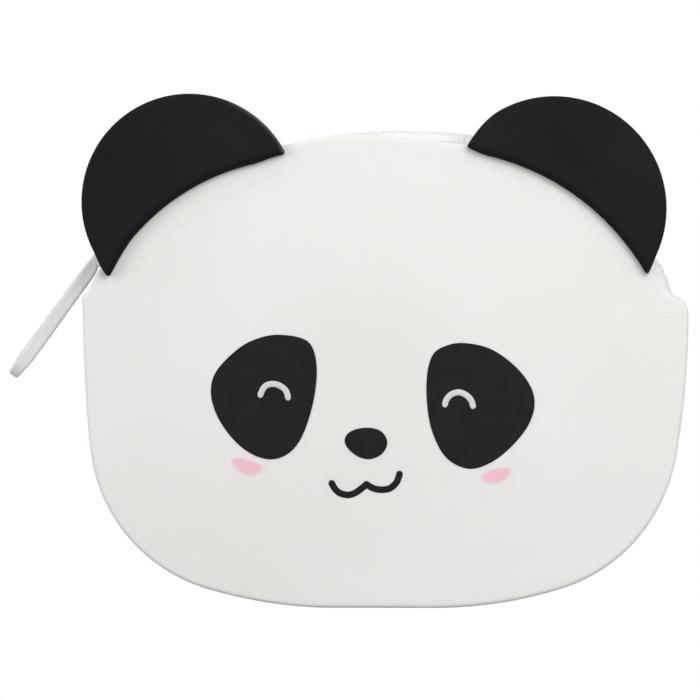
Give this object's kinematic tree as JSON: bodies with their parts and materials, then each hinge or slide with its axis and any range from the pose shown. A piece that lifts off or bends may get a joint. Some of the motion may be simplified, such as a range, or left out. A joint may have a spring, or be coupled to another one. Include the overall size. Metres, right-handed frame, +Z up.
{
  "type": "coin purse",
  "caption": "Flat white silicone coin purse shaped like an animal's head, with black ears, a printed face and a curved zip with a long pull along its top.",
  "frame": {"origin": "middle of the flat strip under the pouch, where it stands", "axes": "+X to the right seen from the front, +Y towards the back, +Z up; the printed face looks along -Y"},
  "size_m": [0.135, 0.0267, 0.1016],
  "materials": {
    "white_silicone": "satin",
    "black_silicone": "satin",
    "black_ink": "satin",
    "grey_ink": "satin",
    "pink_ink": "satin",
    "zip_tape": "matte",
    "zip_coil": "satin",
    "zip_metal": "satin",
    "pull_plastic": "satin",
    "thread": "matte"
  },
  "bodies": {
    "pouch": {"front_shell": "white_silicone", "rear_shell": "white_silicone", "left_eye_patch": "black_ink", "right_eye_patch": "black_ink", "left_eye_arc": "grey_ink", "right_eye_arc": "grey_ink", "nose": "black_ink", "mouth": "black_ink", "left_cheek": "pink_ink", "right_cheek": "pink_ink", "side_bar_tacks": "thread", "bottom_stop": "zip_metal"},
    "front_mouth": {"front_lip": "white_silicone", "left_ear": "black_silicone", "right_ear": "black_silicone", "front_zip_tape": "zip_tape", "front_zip_coil": "zip_coil", "front_top_stop": "zip_metal", "front_stitching": "thread"},
    "rear_mouth": {"rear_lip": "white_silicone", "rear_zip_tape": "zip_tape", "rear_zip_coil": "zip_coil", "rear_top_stop": "zip_metal", "rear_stitching": "thread"},
    "slider": {"slider_body": "zip_metal"},
    "pull": {"pull_tab": "pull_plastic"}
  },
  "joints": [
    {"name": "slider_travel", "type": "hinge", "parent": "pouch", "child": "slider", "pos_m": [-0.0004, 0, 0.02571], "axis": [0, 1, 0], "range_deg": [0, 100]},
    {"name": "pull_swing", "type": "hinge", "parent": "slider", "child": "pull", "pos_m": [-0.05598, 0, 0.07233], "axis": [0, 1, 0], "range_deg": [0, 186]},
    {"name": "front_mouth_flex", "type": "hinge", "parent": "pouch", "child": "front_mouth", "pos_m": [0, -0.012, 0.06175], "axis": [1, 0, 0], "range_deg": [0, 20], "deforming": ["front_zip_tape", "front_zip_coil"]},
    {"name": "rear_mouth_flex", "type": "hinge", "parent": "pouch", "child": "rear_mouth", "pos_m": [0, 0.012, 0.06175], "axis": [-1, 0, 0], "range_deg": [0, 20], "deforming": ["rear_zip_tape", "rear_zip_coil"]}
  ],
  "couplings": [
    {"joint": "front_mouth_flex", "follows": "slider_travel", "ratio": 0.2},
    {"joint": "rear_mouth_flex", "follows": "slider_travel", "ratio": 0.2}
  ]
}
